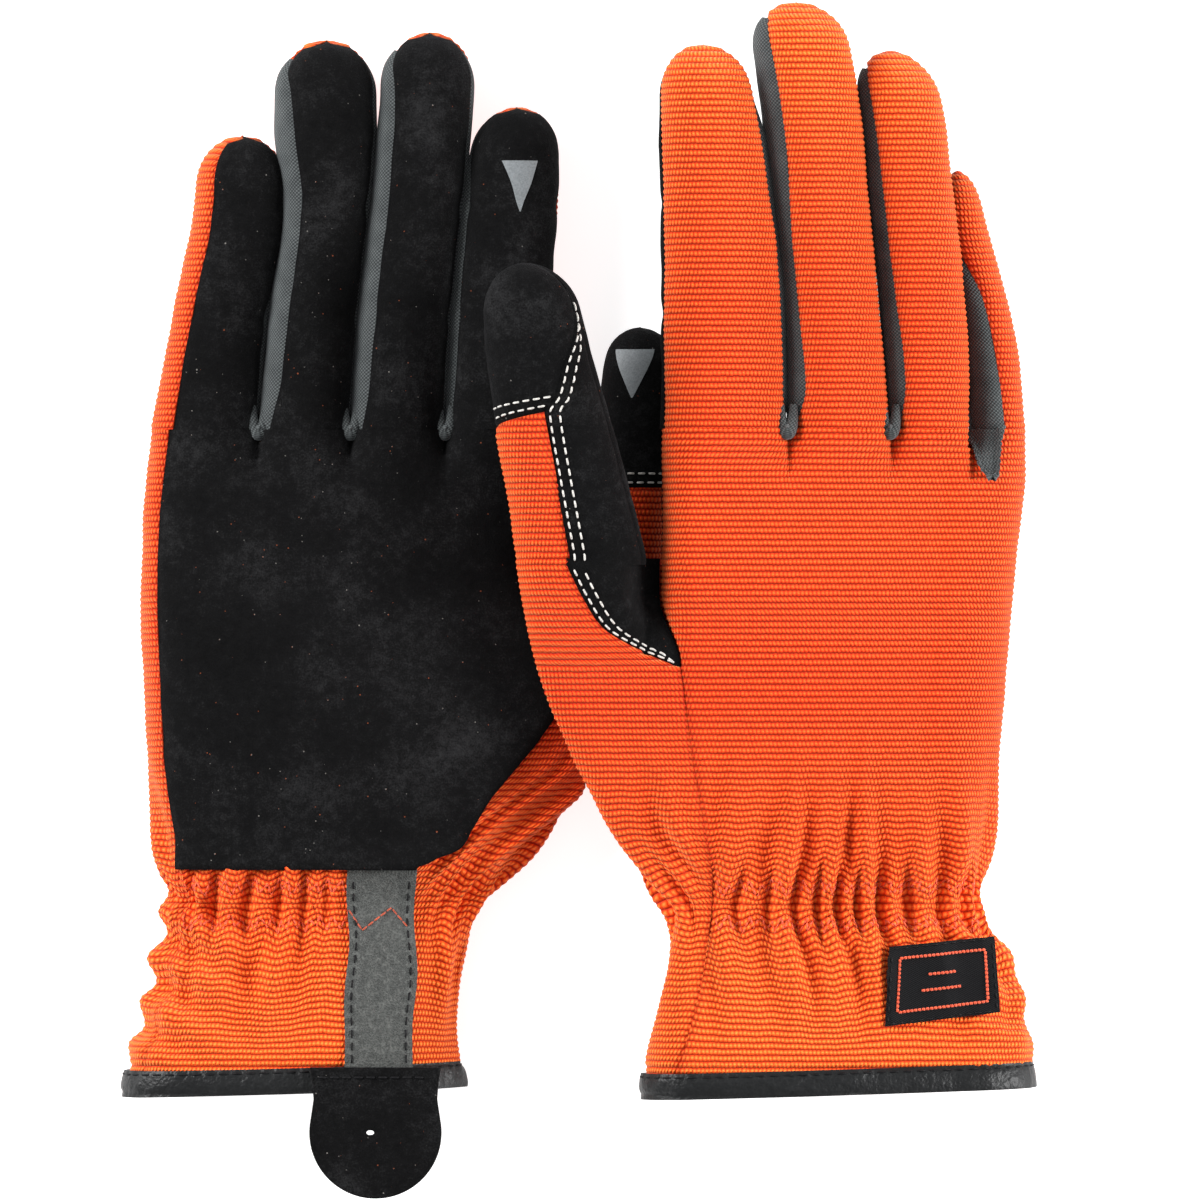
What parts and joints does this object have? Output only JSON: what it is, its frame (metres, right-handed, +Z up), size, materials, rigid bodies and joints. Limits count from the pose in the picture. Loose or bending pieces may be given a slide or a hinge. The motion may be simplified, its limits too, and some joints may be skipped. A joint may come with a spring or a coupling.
{
  "type": "work gloves",
  "caption": "Pair of work gloves lying flat and overlapped: ribbed stretch backs, suede palms, elastic wrists, bound cuffs and a pull tab; fingers, thumbs and tabs fold.",
  "frame": {"origin": "middle of the pair's bounding box, on the surface that the gloves lie on", "axes": "+Z up from the surface, +Y from the cuffs to the fingertips, +X to the right as seen from above"},
  "size_m": [0.2128, 0.277, 0.0464],
  "materials": {
    "orange_knit": "ribbed stretch fabric, matte with a slight sheen",
    "suede": "black synthetic suede, matte nap",
    "grey_knit": "fine dark grey knit",
    "binding": "coated binding tape, slightly glossy",
    "strip_tape": "grey pebbled tape, matte",
    "print": "flat grey print",
    "elastic": "black woven elastic",
    "label": "black woven label"
  },
  "bodies": {
    "lower_hand": {"lower_back_panel": "orange_knit", "lower_palm_panel": "suede", "lower_palm_cuff_panel": "orange_knit", "lower_thumb_side_panel": "orange_knit", "lower_web_patch": "suede", "lower_cuff_binding": "binding", "lower_wrist_elastic": "elastic", "lower_cuff_strip": "strip_tape", "lower_label": "label"},
    "lower_index": {"lower_index_back": "orange_knit", "lower_index_front": "suede", "lower_index_gusset_outer": "grey_knit", "lower_index_print": "print"},
    "lower_middle": {"lower_middle_back": "orange_knit", "lower_middle_front": "suede", "lower_middle_gusset_inner": "grey_knit", "lower_middle_gusset_outer": "grey_knit"},
    "lower_ring": {"lower_ring_back": "orange_knit", "lower_ring_front": "suede", "lower_ring_gusset_inner": "grey_knit", "lower_ring_gusset_outer": "grey_knit"},
    "lower_little": {"lower_little_back": "orange_knit", "lower_little_front": "suede", "lower_little_gusset_inner": "grey_knit"},
    "lower_thumb": {"lower_thumb_back": "orange_knit", "lower_thumb_strip": "suede", "lower_thumb_cap": "suede", "lower_thumb_front": "suede", "lower_thumb_print": "print"},
    "lower_tab": {"lower_pull_tab": "suede"},
    "upper_hand": {"upper_back_panel": "orange_knit", "upper_palm_panel": "suede", "upper_palm_cuff_panel": "orange_knit", "upper_thumb_side_panel": "orange_knit", "upper_web_patch": "suede", "upper_cuff_binding": "binding", "upper_wrist_elastic": "elastic", "upper_cuff_strip": "strip_tape", "upper_label": "label"},
    "upper_index": {"upper_index_back": "orange_knit", "upper_index_front": "suede", "upper_index_gusset_outer": "grey_knit", "upper_index_print": "print"},
    "upper_middle": {"upper_middle_back": "orange_knit", "upper_middle_front": "suede", "upper_middle_gusset_inner": "grey_knit", "upper_middle_gusset_outer": "grey_knit"},
    "upper_ring": {"upper_ring_back": "orange_knit", "upper_ring_front": "suede", "upper_ring_gusset_inner": "grey_knit", "upper_ring_gusset_outer": "grey_knit"},
    "upper_little": {"upper_little_back": "orange_knit", "upper_little_front": "suede", "upper_little_gusset_inner": "grey_knit"},
    "upper_thumb": {"upper_thumb_back": "orange_knit", "upper_thumb_strip": "suede", "upper_thumb_cap": "suede", "upper_thumb_front": "suede", "upper_thumb_print": "print"},
    "upper_tab": {"upper_pull_tab": "suede"}
  },
  "joints": [
    {"name": "lower_index_curl", "type": "hinge", "parent": "lower_hand", "child": "lower_index", "pos_m": [-0.018, 0.0395, 0.0202], "axis": [1, 0, 0], "range_deg": [0, 12]},
    {"name": "lower_middle_curl", "type": "hinge", "parent": "lower_hand", "child": "lower_middle", "pos_m": [-0.042, 0.0395, 0.0205], "axis": [1, 0, 0], "range_deg": [0, 75]},
    {"name": "lower_ring_curl", "type": "hinge", "parent": "lower_hand", "child": "lower_ring", "pos_m": [-0.0634, 0.0395, 0.0205], "axis": [1, 0, 0], "range_deg": [0, 75]},
    {"name": "lower_little_curl", "type": "hinge", "parent": "lower_hand", "child": "lower_little", "pos_m": [-0.087, 0.0395, 0.0197], "axis": [1, 0, 0], "range_deg": [0, 75]},
    {"name": "lower_thumb_swing", "type": "hinge", "parent": "lower_hand", "child": "lower_thumb", "pos_m": [0.011, 0.008, 0.0074], "axis": [0, 0, 1], "range_deg": [0, 10]},
    {"name": "lower_tab_fold", "type": "hinge", "parent": "lower_hand", "child": "lower_tab", "pos_m": [-0.0469, -0.109, 0.0285], "axis": [-1, 0, 0], "range_deg": [0, 150]},
    {"name": "upper_glove_lift", "type": "slide", "parent": "lower_hand", "child": "upper_hand", "axis": [0, 0, 1], "range_m": [0, 0.12]},
    {"name": "upper_index_raise", "type": "hinge", "parent": "upper_hand", "child": "upper_index", "pos_m": [0.0336, 0.0395, 0.0348], "axis": [1, 0, 0], "range_deg": [0, 20]},
    {"name": "upper_ring_raise", "type": "hinge", "parent": "upper_hand", "child": "upper_ring", "pos_m": [0.0816, 0.0395, 0.0259], "axis": [1, 0, 0], "range_deg": [0, 20]},
    {"name": "upper_middle_curl", "type": "hinge", "parent": "upper_hand", "child": "upper_middle", "pos_m": [0.0604, 0.0395, 0.011], "axis": [-1, 0, 0], "range_deg": [0, 60]},
    {"name": "upper_little_curl", "type": "hinge", "parent": "upper_hand", "child": "upper_little", "pos_m": [0.0976, 0.0395, 0.0012], "axis": [-1, 0, 0], "range_deg": [0, 60]},
    {"name": "upper_thumb_swing", "type": "hinge", "parent": "upper_hand", "child": "upper_thumb", "pos_m": [0.0005, 0.008, 0.0286], "axis": [0, 0, -1], "range_deg": [-6, 10]},
    {"name": "upper_tab_fold", "type": "hinge", "parent": "upper_hand", "child": "upper_tab", "pos_m": [0.0394, -0.1098, 0.005], "axis": [-1, 0, 0], "range_deg": [0, 165]}
  ]
}
